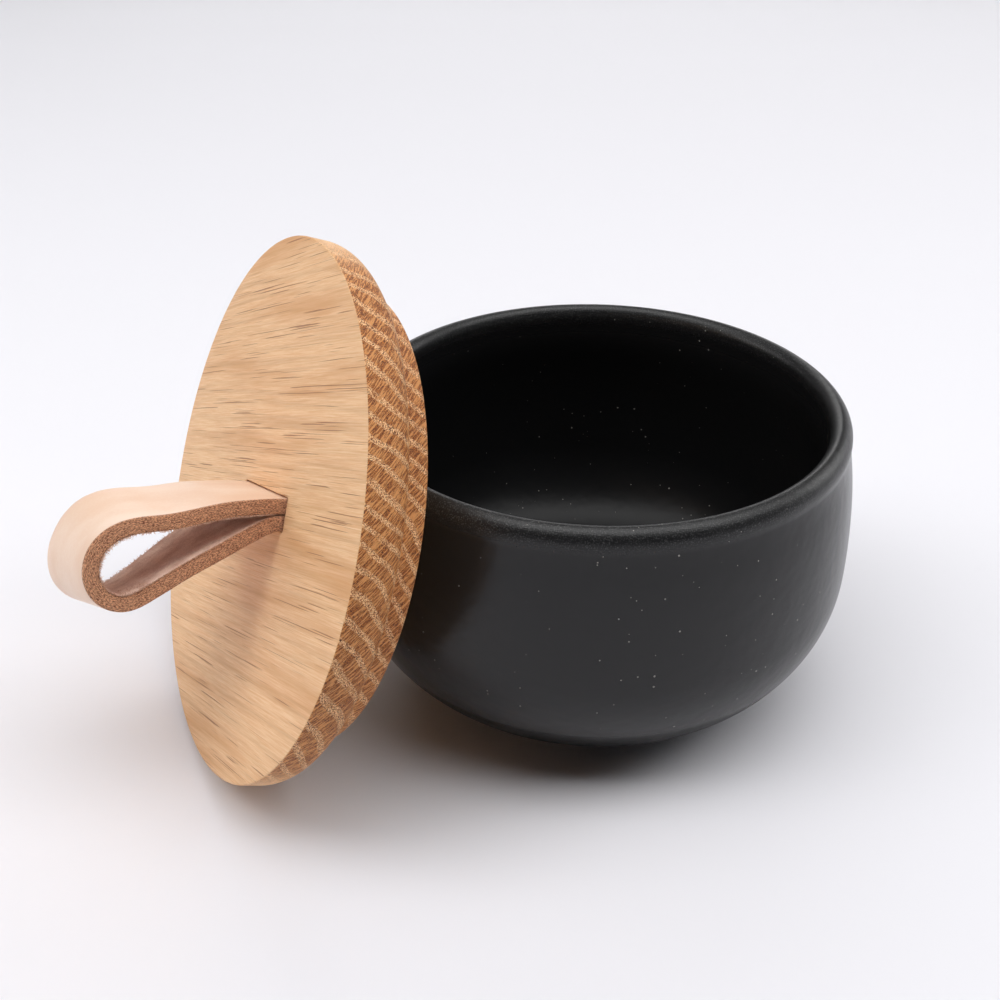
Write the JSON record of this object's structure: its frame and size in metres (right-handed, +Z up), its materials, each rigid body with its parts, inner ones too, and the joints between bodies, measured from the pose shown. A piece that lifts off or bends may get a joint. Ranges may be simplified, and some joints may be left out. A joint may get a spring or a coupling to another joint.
{
  "type": "salt crock",
  "caption": "Round dark stoneware salt crock with a turned oak lid and a folded leather pull loop, the lid lifted off and leaning on the crock.",
  "frame": {"origin": "centre of the crock's foot ring on the table", "axes": "+Z up along the crock's axis; the lid leans on the crock's -X side and its top face looks to -X, -Y and up"},
  "size_m": [0.1722, 0.1369, 0.1105],
  "materials": {
    "stoneware_glaze": "satin charcoal glaze with light specks",
    "oak": "turned and lightly oiled",
    "leather": "natural vegetable tanned",
    "hardwood": "plain dowel"
  },
  "bodies": {
    "crock": {"crock": "stoneware_glaze"},
    "lid": {"lid": "oak", "strap_tails": "leather", "strap_peg": "hardwood"},
    "strap": {"strap_loop": "leather"}
  },
  "joints": [
    {"name": "lid_lift", "type": "slide", "parent": "crock", "child": "lid", "axis": [-0.8599, -0.365, 0.3567], "range_m": [0, 0.07]},
    {"name": "strap_flex", "type": "hinge", "parent": "lid", "child": "strap", "pos_m": [-0.07451, -0.02993, 0.0608], "axis": [-0.4798, 0.8165, -0.321], "range_deg": [-15, 30], "stiffness_Nm_per_rad": 0.05}
  ]
}
